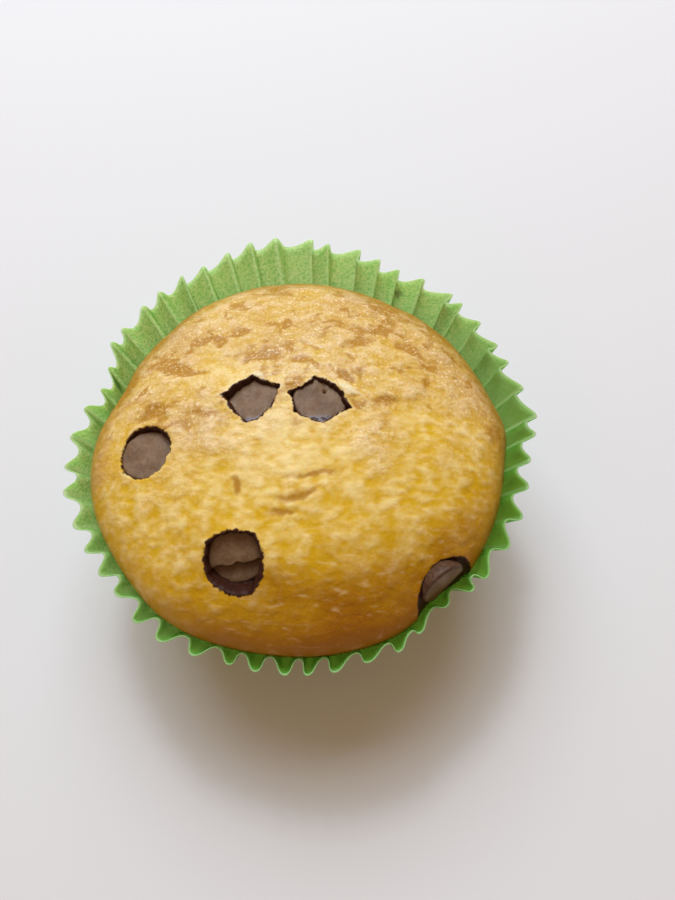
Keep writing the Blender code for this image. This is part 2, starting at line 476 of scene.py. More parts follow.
def rim_lean(bearing):
    total = 0.0
    for middle, width, reach in RIM_LEANS:
        total = near_bearing(bearing, middle, width) * reach + total
    return total


def flute_drift(bearing):
    total = 0.0
    for count, turn, phase in DRIFT_WAVES:
        total = (bearing * count + phase).sin() * turn + total
    return total


def fold_sharpness(case, bearing):
    """Folds are narrow at the far side and rounder at the near side."""
    return (bearing.cos() * 0.25 + case.sharpness).at_least(1.0)


def fold_reach(bearing):
    """Share of a fold's full depth, less where the paper is pressed flatter."""
    middle, width, lost = FLATTENED
    return 0.68 - bearing.cos() * 0.04 - near_bearing(bearing, middle, width) * lost


def wall_slant(case):
    return case.sheet_radius - case.base_radius


def flute_depth(case, share):
    """How far a fold stands out, from the sheet's width and the ring that it has to fit."""
    half_sheet = (share * wall_slant(case) + case.base_radius) * (math.pi / case.flutes)
    ring = share * (case.rim_radius - case.base_radius) + case.base_radius
    half_ring = ring * (math.pi / case.flutes)
    return (half_sheet * half_sheet - half_ring * half_ring).at_least(0.0).sqrt()


def wall_point(case, bearing, share):
    """Radius and height of the case's wall along a fold, at a share of its slant height."""
    run = case.rim_radius - case.base_radius
    lean = rim_lean(bearing)
    reach = lean + run
    rise = (wall_slant(case) ** 2 - reach * reach).sqrt()
    return share * run + case.base_radius + lean * share**LEAN_POWER, share * rise


def new_tree(name, inputs):
    """A geometry tree with named inputs, each given as (socket type, default)."""
    tree = bpy.data.node_groups.new(name, "GeometryNodeTree")
    for label, (kind, default) in inputs.items():
        socket = tree.interface.new_socket(label, in_out="INPUT", socket_type=kind)
        if default is not None:
            socket.default_value = default
    tree.interface.new_socket("Geometry", in_out="OUTPUT", socket_type="NodeSocketGeometry")
    nodes = Nodes(tree)
    entry = nodes.add("NodeGroupInput")
    given = {label: Field(nodes, entry.socket.node.outputs[label]) for label in inputs}
    return nodes, given


def close_tree(nodes, geometry, material):
    """Realize Instances and Set Material, then the group's output."""
    real = nodes.add("GeometryNodeRealizeInstances", {}, {0: geometry})
    done = nodes.add("GeometryNodeSetMaterial", {}, {"Geometry": real, "Material": material})
    nodes.feed(nodes.tree.nodes.new("NodeGroupOutput"), {0: done})


def store(nodes, geometry, name, value):
    return nodes.add(
        "GeometryNodeStoreNamedAttribute", {"data_type": "FLOAT", "domain": "POINT"},
        {"Geometry": geometry, "Name": name, "Value": value},
    )


def grow(name, nodes, inputs, finish=None):
    """The plain mesh object that a geometry tree makes. Inputs not given keep their default."""
    piece = bpy.data.objects.new(name, bpy.data.meshes.new(name + "_start"))
    bpy.context.scene.collection.objects.link(piece)
    modifier = piece.modifiers.new("Shape", "NODES")
    modifier.node_group = nodes.tree
    for item in nodes.tree.interface.items_tree:
        if item.in_out == "INPUT":
            modifier[item.identifier] = inputs.get(item.name, item.default_value)
    if finish:
        finish(piece)
    graph = bpy.context.evaluated_depsgraph_get()
    mesh = bpy.data.meshes.new_from_object(piece.evaluated_get(graph))
    mesh.name = name
    start = piece.data
    piece.modifiers.clear()
    piece.data = mesh
    bpy.data.meshes.remove(start)
    mesh.shade_smooth()
    return piece


def adopt(piece, node):
    """The piece rides on the part's body and stands for a CAD node."""
    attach(piece, BODY)
    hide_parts(node)


def round_place(nodes, radius, bearing, height):
    """The place at a bearing, a distance from the muffin's axis and a height."""
    return nodes.join(radius * bearing.sin(), radius * bearing.cos(), height)


# The paper case.


def case_tree(case):
    inputs = {
        "Columns": ("NodeSocketInt", 16),
        "Rows": ("NodeSocketInt", 26),
        "Flutes": ("NodeSocketInt", 51),
        "Flute variation": ("NodeSocketFloat", 0.4),
        "Fold skew": ("NodeSocketFloat", 0.35),
        "Loops": ("NodeSocketFloat", 0.35),
        "Pinch": ("NodeSocketFloat", 0.1),
        "Lean": ("NodeSocketFloat", 0.3),
        "Seed": ("NodeSocketFloat", 3.0),
        "Paper": ("NodeSocketMaterial", None),
    }
    nodes, given = new_tree("fluted_case", inputs)
    sheet = nodes.add(
        "GeometryNodeMeshGrid", {},
        {"Size X": 1.0, "Size Y": 1.0, "Vertices X": given["Columns"] * given["Flutes"] + 1.0,
         "Vertices Y": given["Rows"]},
    )
    place = nodes.add("GeometryNodeInputPosition")
    across, up, _ = nodes.split(place)
    turns = across + 0.5
    level = up + 0.5
    base_part = 0.08
    share = ((level - base_part) / (1.0 - base_part)).at_least(0.0)
    inward = (level / base_part).at_most(1.0)

    bearing = turns * math.tau
    flute = turns * given["Flutes"]
    nearest = (flute + 0.5).floor()
    number = nearest.math("MODULO", nearest, given["Flutes"])
    own = nodes.add(
        "ShaderNodeTexWhiteNoise", {"noise_dimensions": "2D"},
        {"Vector": nodes.join(number, given["Seed"], 0.0)}, output="Color",
    )
    vary, lift, tilt = nodes.split(own)
    phase = (flute - nearest) * 2.0
    wave = ((phase * math.pi).cos() * 0.5 + 0.5) ** fold_sharpness(case, bearing)
    drifted = bearing + flute_drift(bearing)
    radius, height = wall_point(case, drifted, share)
    depth = flute_depth(case, share) * fold_reach(bearing)
    crest = (1.0 - phase.size()).rises(0.0, 0.9)
    uneven = (vary - 0.5) * given["Flute variation"] * crest
    pressed = share.rises(0.84, 0.97) * 0.3 + 0.7
    radius = radius + depth * (wave * 1.12 - 1.0) * pressed + depth * uneven
    skew = (tilt - 0.5) * given["Fold skew"] * crest
    nearness = 0.5 - bearing.cos() * 0.5
    loops = (phase * math.tau).sin() * nearness * given["Loops"] / math.tau
    pinch = (phase * math.pi).sin() * (1.0 - nearness) * given["Pinch"] / math.pi
    leaning = given["Lean"] * (crest - 1.0) * (bearing.cos() * 0.4 + 0.6)
    turned = skew + leaning + (loops - pinch) * 0.5
    drifted = drifted + turned * share * math.tau / given["Flutes"]
    wall = round_place(nodes, radius, drifted, height)
    crumple = nodes.noise(wall, 5 * MM) - 0.5
    dents = nodes.noise(wall, 1.6 * MM, 1.0) - 0.5
    radius = radius + (crumple * 0.5 + dents * 0.16) * share * MM
    height = height + (lift - 0.5) * crest * share * 0.35 * MM
    # Painted shade: a dark pocket beside the fold that is tucked in.
    pocket, half_width = map(math.radians, SHADED_POCKET)
    beside = turn_from(drifted, pocket) / half_width
    pocket_shade_mask = (1.0 - beside.size().rises(0.5, 1.2)) * share.rises(0.80, 0.86)
    sheet = store(nodes, sheet, "fold", wave)
    sheet = store(nodes, sheet, "level", share)
    sheet = store(nodes, sheet, "pocket_shade", pocket_shade_mask * (1.0 - share.rises(0.955, 0.975)))
    shaped = nodes.add(
        "GeometryNodeSetPosition", {},
        {"Geometry": sheet, "Position": round_place(nodes, radius * inward, drifted, height)},
    )
    closed = nodes.add("GeometryNodeMergeByDistance", {}, {"Geometry": shaped, "Distance": 1e-6})
    close_tree(nodes, closed, given["Paper"])
    return nodes


def paper_material(case):
    material, nodes, shader = new_material("baking_paper")
    where = nodes.add("ShaderNodeTexCoord", {}, {}, output="Object")
    x, y, _ = nodes.split(where)
    fibres = nodes.noise(where, 0.5 * MM, detail=2.0, roughness=0.75)
    clouds = nodes.noise(where, 1.5 * MM, detail=2.0, roughness=0.6)
    patches = nodes.noise(where, 7.0 * MM, detail=2.0)
    fold = nodes.attribute("fold")
    level = nodes.attribute("level")
    pocket_shade = nodes.attribute("pocket_shade")
    speckle = fibres.rises(0.4, 0.66) * 0.75 + clouds.rises(0.35, 0.7) * 0.35
    colour = nodes.blend(
        speckle * (0.45 + patches * 0.6), tuple(case.colour), tuple(case.light_colour)
    )
    thick = (0.47 - fibres).rises(0.0, 0.14) * 0.45
    colour = nodes.blend(thick, colour, tuple(case.thick_and_shaded_colour))
    # Painted shade: the paper darkens towards the near and right sides, where less of the
    # window's light reaches it.
    shaded = (x / (48 * MM) - y / (32 * MM)).rises(-0.75, 1.0)
    colour = nodes.blend(shaded, colour, tuple(case.thick_and_shaded_colour))
    # Painted highlight: pale lines along the fold ridges, mostly on the far side, and along the
    # rim's edge, where the paper catches the window's light.
    fold_highlight = fold.rises(0.93, 0.99) * level * (y / (30 * MM)).rises(-0.9, 0.3)
    colour = nodes.blend(fold_highlight * 0.45, colour, FOLD_HIGHLIGHT)
    edge_highlight = level.rises(0.975, 0.995) * 0.32
    colour = nodes.blend(edge_highlight, colour, FOLD_HIGHLIGHT)
    # Painted shade in the tucked fold's pocket.
    colour = nodes.blend(pocket_shade, colour, POCKET_SHADE)
    for middle, reach in DARK_PATCHES:
        away = nodes.vector("LENGTH", nodes.vector("SUBTRACT", where, middle), output="Value")
        dark_patch = 1.0 - ((away + (clouds - 0.5) * 2.5 * MM) / reach).rises(0.5, 1.0)
        colour = nodes.blend(dark_patch * 0.85, colour, DARK_PATCH)
    bump = nodes.add(
        "ShaderNodeBump", {},
        {"Strength": 0.6, "Distance": 0.06 * MM, "Height": fibres + clouds * 0.6},
    )
    nodes.feed(shader, {
        "Base Color": colour,
        "Roughness": 0.58 - fibres * 0.2,
        "Normal": bump,
        "Subsurface Weight": 1.0,
        "Subsurface Radius": (0.8, 1.0, 0.6),
        "Subsurface Scale": 1.4 * MM,
        "Specular IOR Level": 0.25,
    })
    return material


class MUFFIN_OT_case(bpy.types.Operator):
    """Press the fluted paper case"""

    bl_idname = "muffin.case"
    bl_label = "Baking Case"

    def execute(self, context):
        case = context.scene.muffin_case
        nodes = case_tree(case)

        def thicken(piece):
            shell = piece.modifiers.new("Thickness", "SOLIDIFY")
            shell.thickness = case.thickness
            shell.offset = 1.0

        inputs = {"Flutes": case.flutes, "Paper": paper_material(case)}
        piece = grow("baking_case", nodes, inputs, thicken)
        adopt(piece, "paper_case")
        return {"FINISHED"}


# The crumb.


def crumb_side(case, bearing, share, wave):
    """Radius and height of the crumb's side, which follows the case's flutes."""
    radius, height = wall_point(case, bearing, share)
    hollow = flute_depth(case, share) * fold_reach(bearing) * (1.0 - wave * 0.6)
    return radius - 0.35 * MM - hollow, height


def chip_axis(name):
    """Middle and outward direction of a chip's flat base, its height and its radius."""
    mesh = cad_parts[name].data
    areas = {}
    for face in mesh.polygons:
        key = tuple(round(part, 2) for part in face.normal)
        area, middle, normal = areas.get(key, (0.0, Vector(), Vector()))
        areas[key] = (
            area + face.area, middle + face.center * face.area, normal + face.normal * face.area
        )
    area, middle, normal = max(areas.values(), key=lambda entry: entry[0])
    middle = middle / area + Vector(CHIP_LIFTS[name])
    axis = normal.normalized()
    height = 0.0
    radius = 0.0
    for vertex in mesh.vertices:
        away = vertex.co + Vector(CHIP_LIFTS[name]) - middle
        height = max(height, -away.dot(axis))
        radius = max(radius, (away - axis * away.dot(axis)).length)
    return middle, axis, height, radius


def beside_axis(axis):
    """Directions to the right and to the back on the plane across an axis."""
    across = Vector((1.0, 0.0, 0.0))
    across = (across - axis * across.dot(axis)).normalized()
    return across, axis.cross(across)


def crumb_tree(case, crumb):
    inputs = {
        "Rings": ("NodeSocketInt", 152),
        "Lump size": ("NodeSocketFloat", 1.35 * MM),
        "Lump height": ("NodeSocketFloat", 0.3 * MM),
        "Swell height": ("NodeSocketFloat", 0.5 * MM),
        "Grain height": ("NodeSocketFloat", 0.05 * MM),
        "Seed": ("NodeSocketFloat", 7.0),
        "Crust": ("NodeSocketMaterial", None),
    }
    nodes, given = new_tree("baked_crumb", inputs)
    sheet = nodes.add(
        "GeometryNodeMeshGrid", {},
        {"Size X": 2.0, "Size Y": 2.0, "Vertices X": given["Rings"] * 2.0 + 1.0,
         "Vertices Y": given["Rings"] * 2.0 + 1.0},
    )
    place = nodes.add("GeometryNodeInputPosition")
    x, y, _ = nodes.split(place)
    ring = x.size().at_least(y.size())
    steep = (x.size() / y.size()).at_most(1.0) * (math.pi / 4)
    shallow = math.pi / 2 - (y.size() / x.size()).at_most(1.0) * (math.pi / 4)
    beyond = x.size().above(y.size())
    turn = shallow * beyond + steep * (1.0 - beyond)
    behind = y.above(-1e-7)
    rightward = x.above(-1e-7) * 2.0 - 1.0
    bearing = rightward * (turn * behind + (math.pi - turn) * (1.0 - behind))

    # The square sheet's rings become the dome up to the share top, the side up to the share
    # side, and the flat underside beyond it.
    top, side = 0.92, 0.99
    out = (ring / top).at_most(1.0)
    down = ((ring - top) / (side - top)).at_least(0.0).at_most(1.0)
    under = ((ring - side) / (1.0 - side)).at_least(0.0)

    drifted = bearing + flute_drift(bearing)
    wave = ((bearing * case.flutes).cos() * 0.5 + 0.5) ** fold_sharpness(case, bearing)
    imprint = down.rises(0.0, 0.35)
    wave = wave * imprint + (1.0 - imprint) * 0.55
    lean = (drifted - crumb.high_bearing).cos()
    share = (lean * crumb.edge_lean + crumb.edge_share) * (1.0 - down * 0.97)
    radius, height = crumb_side(case, drifted, share, wave)
    middle, width, distance = SET_BACK
    radius = radius - near_bearing(drifted, middle, width) * distance
    rise = (1.0 - out * out).at_least(0.0).sqrt()
    rim_rise = math.sqrt(wall_slant(case) ** 2 - (case.rim_radius - case.base_radius) ** 2)
    edge_height = crumb.edge_share * rim_rise
    on_top = ring.math("LESS_THAN", ring, top + 1e-5)
    dome = (height - edge_height) * out + edge_height + rise * crumb.dome_height
    height = dome * on_top + height * (1.0 - on_top)
    radius = radius * out * (1.0 - under)
    sheet = store(nodes, sheet, "crusted", 1.0 - down.rises(0.0, 0.15))
    sheet = store(nodes, sheet, "outness", out)
    shaped = nodes.add(
        "GeometryNodeSetPosition", {},
        {"Geometry": sheet, "Position": round_place(nodes, radius, drifted, height)},
    )
    shaped = nodes.add("GeometryNodeMergeByDistance", {}, {"Geometry": shaped, "Distance": 1e-6})
    relief(nodes, given, shaped)
    return nodes


def named(nodes, name):
    return nodes.add(
        "GeometryNodeInputNamedAttribute", {"data_type": "FLOAT"}, {"Name": name}
    )


def relief(nodes, given, shaped):
    """Swellings, lumps, hollows and the openings round the chips."""
    place = nodes.add("GeometryNodeInputPosition")
    seeded = nodes.vector("ADD", place, nodes.join(given["Seed"] * 0.01, 0.0, 0.0))
    crusted = named(nodes, "crusted")
    outness = named(nodes, "outness")

    _, y, _ = nodes.split(place)
    shifts = nodes.beside(nodes.noise(seeded, 3.0 * MM), 1)
    wander = nodes.vector("SUBTRACT", shifts, (0.5, 0.5, 0.5))
    wavy = nodes.vector("ADD", seeded, nodes.scaled(wander, 0.8 * MM))
    wx, wy, _ = nodes.split(nodes.vector("ADD", place, nodes.scaled(wander, 3.2 * MM)))
    flat = (wx, wy)

    swell = nodes.noise(seeded, 10.0 * MM, detail=1.0) - 0.5
    blotch = nodes.noise(wavy, 3.4 * MM, 1.0, 0.5) - 0.5
    long = nodes.vector("MULTIPLY", wavy, (0.7, 1.15, 1.0))
    wrinkle = nodes.noise(long, given["Lump size"], 1.0, 0.5) - 0.5
    groove = nodes.noise(nodes.vector("ADD", long, (0.013, 0.0, 0.0)), 4.6 * MM, 1.0, 0.5) - 0.5
    groove = 1.0 - (groove.size() * 8.0).rises(0.0, 1.0)
    rough_side = (y / (30 * MM) + swell * 1.5).rises(-0.5, 0.45)
    groove = groove * nodes.noise(seeded, 7.0 * MM, 1.0).rises(0.47, 0.6) * rough_side
    grain = nodes.noise(seeded, 0.85 * MM, detail=1.0, roughness=0.5) - 0.5
    lift = (
        swell * given["Swell height"] * 2.0
        + blotch * given["Lump height"] * 1.4
        + wrinkle * given["Lump height"] * (1.0 + rough_side * 0.4)
        - groove * given["Lump height"] * 0.5
        + grain * given["Grain height"] * (0.7 + rough_side * 1.6)
    )
    lumps = blotch * 1.3 + wrinkle * 1.5 + grain * 0.5
    toast = 0.0
    pale = 0.0
    for right, back, length, width, turn, height in HOLLOWS:
        inside = oval(flat, right, back, length, width, turn)
        lift = lift * (1.0 - inside * 0.5) + inside * (height * 0.65 * MM)
        if height < 0:
            toast = inside + toast
        else:
            pale = inside + pale
    lift = lift * crusted * (1.0 - outness.rises(0.9, 1.0) * 0.8)

    normal = nodes.add("GeometryNodeInputNormal")
    offset = nodes.scaled(normal, lift)
    chocolate = 0.0
    for name in CHIP_NODES:
        drop, axis, stain = opening(nodes, name, place, crusted, outness)
        offset = nodes.vector("ADD", offset, nodes.scaled(tuple(axis), drop))
        chocolate = stain + chocolate
    shaped = store(nodes, shaped, "paleness", lumps)
    shaped = store(nodes, shaped, "cream", pale)
    shaped = store(nodes, shaped, "toast", toast + groove * 0.8)
    shaped = store(nodes, shaped, "far", rough_side)
    shaped = store(nodes, shaped, "chocolate", chocolate.at_most(1.0))
    moved = nodes.add("GeometryNodeSetPosition", {}, {"Geometry": shaped, "Offset": offset})
    close_tree(nodes, moved, given["Crust"])


def opening(nodes, name, place, crusted, outness):
    """The drop of the crust round a chip, the direction that it drops from, and its stain."""
    base, axis, _, _ = chip_axis(name)
    (shift_right, shift_back), body, depth, crack_depth, burnt, upright, cracks = OPENINGS[name]
    axis = axis.lerp(Vector((0.0, 0.0, 1.0)), upright).normalized()
    across, upward = beside_axis(axis)
    centre = base + across * shift_right + upward * shift_back
    away = nodes.vector("SUBTRACT", place, tuple(centre))
    right = nodes.dot(away, tuple(across))
    back = nodes.dot(away, tuple(upward))
    along = nodes.dot(away, tuple(axis))
    reach = (right * right + back * back).sqrt()
    direction = back.math("ARCTAN2", back, right)
    ragged = (nodes.noise(place, 1.3 * MM, 2.0, 0.6) - 0.5) * 1.1 * MM
    ragged = ragged + (nodes.noise(place, 0.6 * MM, 1.0) - 0.5) * 0.5 * MM
    edge = ragged + body
    for crack, length, width in cracks:
        turned = turn_from(direction, math.radians(crack)).size() / math.radians(width)
        edge = (-turned).exp() * length + edge
    near = along.above(-7.0 * MM)
    past = reach - edge
    within = near * crusted
    softness = 0.5 * MM
    well = (1.0 - (past / softness).rises(-0.7, 0.3)) * within
    deep = (1.0 - ((reach - ragged - body) / softness).rises(-0.7, 0.3)) * within
    deep = deep * (1.0 - outness.rises(0.93, 0.98))
    lip = (-((past - softness) / (0.6 * MM)) ** 2.0).exp()
    drop = lip * 0.1 * MM * near - well * crack_depth - deep * (depth - crack_depth)
    stain = (1.0 - ((past - burnt) / (0.6 * MM)).rises(-0.9, 1.0)) * near
    return drop, axis, stain


def oval(flat, right, back, length, width, turn):
    """1 in the middle of an oval patch seen from above, fading to 0 past its edge."""
    x, y = flat
    x = x - right * MM
    y = y - back * MM
    turned = math.radians(turn)
    along = (x * math.cos(turned) + y * math.sin(turned)) / (length * MM)
    across = (y * math.cos(turned) - x * math.sin(turned)) / (width * MM)
    return 1.0 - (along * along + across * across).sqrt().rises(0.1, 1.7)


def crust_material(crumb, chips):
    material, nodes, shader = new_material("golden_crust")
    where = nodes.add("ShaderNodeTexCoord", {}, {}, output="Object")
    x, y, _ = nodes.split(where)
    paleness = nodes.attribute("paleness")
    toast = nodes.attribute("toast")
    far = nodes.attribute("far")
    chocolate = nodes.attribute("chocolate")
    outness = nodes.attribute("outness")
    fine = nodes.noise(where, 0.5 * MM, 2.0, 0.6)
    spots = nodes.noise(where, 1.5 * MM, 2.0, 0.55)
    broad = nodes.noise(where, 10.0 * MM, 2.0)
    glints = nodes.noise(where, 0.42 * MM, 1.0, 0.5)
    glint_streaks = nodes.noise(nodes.vector("MULTIPLY", where, (0.4, 1.0, 1.0)), 0.9 * MM, 1.0, 0.5)
    cream = nodes.attribute("cream")
    middle = (-((x + 2 * MM) ** 2.0 + (y - 1 * MM) ** 2.0) / (16 * MM) ** 2).exp()
    # The near side deepens in colour, partly from its darker toast and partly as painted shade,
    # since it faces away from the window.
    near = (x / (110 * MM) - y / (34 * MM) + (broad - 0.5) * 0.7).rises(0.45, 1.1)

    pale = paleness + (fine - 0.5) * 0.3 + (spots - 0.5) * 0.6 + middle * 0.5 - near * 0.45
    colour = nodes.blend(pale.rises(-0.4, 0.85) * 0.9, tuple(crumb.golden), tuple(crumb.pale))
    # The far side's desaturated tan is partly the crust's own colour and partly painted sheen of
    # the window's light on it.
    tan_and_sheen = far * (0.6 + (broad - 0.5) * 1.6 - middle * 0.4)
    colour = nodes.blend(tan_and_sheen, colour, TAN_AND_SHEEN)
    # Painted sheen: a pale pinkish veil over the far side's lumps, standing in for the window's
    # light reflected off the moist crust.
    sheen_mask = far * (paleness + (fine - 0.5) * 1.4).rises(-0.3, 0.8)
    colour = nodes.blend(sheen_mask * 0.5, colour, PAINTED_SHEEN)
    colour = nodes.blend(near, colour, tuple(crumb.deep))
    blots = nodes.noise(nodes.vector("ADD", where, (0.02, 0.01, 0.0)), 3.2 * MM, 2.0, 0.6)
    brown = toast * 1.3 + (broad - 0.5) * 0.8 + (0.46 - spots) * 1.2 - middle * 0.3
    brown = brown + (blots - 0.55).at_least(0.0) * (far * 6.5 + 1.5)
    colour = nodes.blend(brown.rises(0.0, 1.1) * 0.9, colour, tuple(crumb.toasted))
    colour = nodes.blend(cream.rises(0.2, 0.9) * 0.8, colour, CREAM)
    lively = spots.rises(0.35, 0.65) * 0.7 + 0.3
    freckles = (0.46 - glints).rises(0.0, 0.14) * (far * 0.32 + outness * 0.05)
    colour = nodes.blend(freckles, colour, FRECKLE)
    # Painted highlights: pale glints over the far side's lumps and short pale streaks on the near
    # side, standing in for the window's light caught by the moist crust.
    glint_mask = glints.rises(0.52, 0.72) * (far * 0.75 + outness * 0.07) * lively
    glint_mask = glint_mask.at_least(glint_streaks.rises(0.55, 0.82) * (1.0 - far) * 0.28)
    colour = nodes.blend(glint_mask, colour, PAINTED_GLINT)
    rim = (outness + (spots - 0.5) * 0.22).rises(0.82, 0.97) * (far * 0.6 + 0.35)
    colour = nodes.blend(rim, colour, tuple(crumb.toasted))
    stained = (chocolate * 1.6 + (fine - 0.5) * 0.9 - 0.35).rises(0.2, 0.75)
    colour = nodes.blend(stained, colour, tuple(chips.dark))
    grain = fine * (0.5 + far * 0.8) + spots * 0.5
    bump = nodes.add(
        "ShaderNodeBump", {}, {"Strength": 0.8, "Distance": 0.2 * MM, "Height": grain}
    )
    nodes.feed(shader, {
        "Base Color": colour,
        "Roughness": 0.5,
        "Normal": bump,
        "Coat Weight": far * 0.28 + 0.02,
        "Coat Roughness": 0.28,
        "Subsurface Weight": 0.3,
        "Subsurface Radius": (1.0, 0.5, 0.12),
        "Subsurface Scale": 1.2 * MM,
        "IOR": 1.3,
        "Specular IOR Level": 0.3,
    })
    return material


class MUFFIN_OT_crumb(bpy.types.Operator):
    """Bake the crumb with its domed crust"""

    bl_idname = "muffin.crumb"
    bl_label = "Crumb"

    def execute(self, context):
        scene = context.scene
        crumb = scene.muffin_crumb
        nodes = crumb_tree(scene.muffin_case, crumb)
        inputs = {
            "Lump size": crumb.lump_size, "Lump height": crumb.lump_height,
            "Seed": float(crumb.seed), "Crust": crust_material(crumb, scene.muffin_chips),
        }
        piece = grow("baked_crumb", nodes, inputs)
        adopt(piece, "crumb")
        return {"FINISHED"}


# The chocolate chips.


def drop_tree():
    """A drop turned about its axis: flat base up, rounded shoulder, side running to a tip."""
    inputs = {
        "Columns": ("NodeSocketInt", 96),
        "Rows": ("NodeSocketInt", 48),
        "Radius": ("NodeSocketFloat", 4.2 * MM),
        "Height": ("NodeSocketFloat", 6.2 * MM),
        "Seed": ("NodeSocketFloat", 0.0),
        "Crack direction": ("NodeSocketFloat", 0.0),
        "Crack distance": ("NodeSocketFloat", 9.0 * MM),
        "Crack drop": ("NodeSocketFloat", 0.0),
        "Pinhole": ("NodeSocketVector", None),
        "Bloom": ("NodeSocketFloat", 0.0),
        "Melted and shaded": ("NodeSocketFloat", 0.0),
        "Base": ("NodeSocketVector", None),
        "Across": ("NodeSocketVector", None),
        "Upward": ("NodeSocketVector", None),
        "Axis": ("NodeSocketVector", None),
        "Chocolate": ("NodeSocketMaterial", None),
    }
    nodes, given = new_tree("chocolate_drop", inputs)
    sheet = nodes.add(
        "GeometryNodeMeshGrid", {},
        {"Size X": 1.0, "Size Y": 1.0, "Vertices X": given["Columns"] + 1.0,
         "Vertices Y": given["Rows"]},
    )
    place = nodes.add("GeometryNodeInputPosition")
    around, along, _ = nodes.split(place)
    turn = around * -math.tau
    down = along + 0.5
    base = (down / 0.5).at_most(1.0)
    shoulder = ((down - 0.5) / 0.14).at_least(0.0).at_most(1.0) * (math.pi / 2)
    side = ((down - 0.64) / 0.36).at_least(0.0).at_most(1.0)
    ring = (base * 0.88 + shoulder.sin() * 0.12) * (1.0 - side**1.6) * (1.0 - side * 0.12)
    ring = ring * given["Radius"]
    depth = ((1.0 - shoulder.cos()) * 0.1 + side * 0.9) * given["Height"]
    x = ring * turn.cos()
    y = ring * turn.sin()
    spot = nodes.join(x, y, given["Seed"] * 0.01 - depth)
    lumpy = nodes.noise(spot, 2.2 * MM, 1.0) - 0.5
    rough = nodes.noise(spot, 0.6 * MM, 2.0) - 0.5
    raise_by = lumpy * 0.35 * MM + rough * 0.06 * MM
    beyond = x * given["Crack direction"].cos() + y * given["Crack direction"].sin()
    beyond = beyond - given["Crack distance"] + (lumpy * 1.2 + rough * 0.4) * MM
    fallen = (beyond / (0.3 * MM)).rises(-0.5, 0.5)
    # Painted shade along the crack's step, where the fallen piece drops away.
    edge = (-(beyond / (0.35 * MM)) ** 2.0).exp() * (given["Crack drop"] / MM).at_most(1.0)
    hole = nodes.vector("SUBTRACT", nodes.join(x, y, 0.0), given["Pinhole"])
    pit = (-nodes.dot(hole, hole) / (0.28 * MM) ** 2).exp()
    height = raise_by - depth - fallen * given["Crack drop"] - pit * 0.5 * MM
    ragged = 1.0 + (lumpy * 0.1 + rough * 0.06) * (ring / given["Radius"])
    point = given["Base"]
    for way, reach in (("Across", x * ragged), ("Upward", y * ragged), ("Axis", height)):
        point = nodes.vector("ADD", point, nodes.scaled(given[way], reach))
    rim = (ring / given["Radius"]).rises(0.86, 1.0) + side.rises(0.0, 0.05)
    lower = (-y / given["Radius"] + lumpy).rises(0.45, 0.85) * given["Bloom"]
    # The chip's own burnt rim, plus painted shade over the whole base of a chip that sits in
    # shade.
    sheet = store(nodes, sheet, "rim", (rim + given["Melted and shaded"]).at_most(1.0))
    # Painted shade in the crack's step and in the pinhole.
    sheet = store(nodes, sheet, "crack_and_pit_shade", (pit * 1.3 + edge * 0.6).at_most(1.0))
    sheet = store(nodes, sheet, "bloom", lower)
    shaped = nodes.add("GeometryNodeSetPosition", {}, {"Geometry": sheet, "Position": point})
    closed = nodes.add("GeometryNodeMergeByDistance", {}, {"Geometry": shaped, "Distance": 1e-6})
    close_tree(nodes, closed, given["Chocolate"])
    return nodes


def chocolate_material(chips):
    material, nodes, shader = new_material("milk_chocolate")
    where = nodes.add("ShaderNodeTexCoord", {}, {}, output="Object")
    dust = nodes.noise(where, 0.5 * MM, 2.0, 0.7)
    patches = nodes.noise(where, 2.2 * MM, 2.0)
    specks = nodes.noise(where, 0.8 * MM, 1.0)
    rim = nodes.attribute("rim")
    crack_and_pit_shade = nodes.attribute("crack_and_pit_shade")
    bloom = nodes.attribute("bloom")
    dusty = (dust * 0.5 + patches * 0.7 - 0.1).rises(0.25, 0.75)
    colour = nodes.blend(dusty, tuple(chips.chocolate), tuple(chips.dusty))
    bloomed = (bloom + (specks - 0.5) * 0.8).rises(0.3, 0.9) * bloom
    colour = nodes.blend(bloomed, colour, BLOOM)
    speckled = bloom * specks.rises(0.58, 0.64)
    # Dark: the chip's burnt rim, with painted shade in its crack and pinhole and over a chip that
    # sits in shade.
    dark = (rim * 0.75 + (dust - 0.5) * 0.5 + crack_and_pit_shade).rises(0.4, 0.95)
    colour = nodes.blend(dark.at_least(speckled), colour, tuple(chips.dark))
    bump = nodes.add(
        "ShaderNodeBump", {}, {"Strength": 0.4, "Distance": 0.08 * MM, "Height": dust + patches}
    )
    nodes.feed(shader, {
        "Base Color": colour,
        "Roughness": 0.6 - dust * 0.12,
        "Normal": bump,
        "Specular IOR Level": 0.3,
    })
    return material


class MUFFIN_OT_chips(bpy.types.Operator):
    """Set the chocolate chips in the crust"""

    bl_idname = "muffin.chips"
    bl_label = "Chocolate Chips"

    def execute(self, context):
        chocolate = chocolate_material(context.scene.muffin_chips)
        nodes = drop_tree()
        for name in CHIP_NODES:
            base, axis, height, radius = chip_axis(name)
            across, upward = beside_axis(axis)
            seed, (direction, distance, drop), pinhole, bloom, painted_shade = CHIP_MARKS[name]
            inputs = {
                "Radius": radius, "Height": height, "Seed": seed,
                "Crack direction": math.radians(direction), "Crack distance": distance,
                "Crack drop": drop, "Pinhole": (*pinhole, 0.0), "Bloom": bloom, "Melted and shaded": painted_shade,
                "Base": tuple(base), "Across": tuple(across), "Upward": tuple(upward),
                "Axis": tuple(axis), "Chocolate": chocolate,
            }
            adopt(grow(name + "_drop", nodes, inputs), name)
        return {"FINISHED"}


# The stage: floor, light and camera.


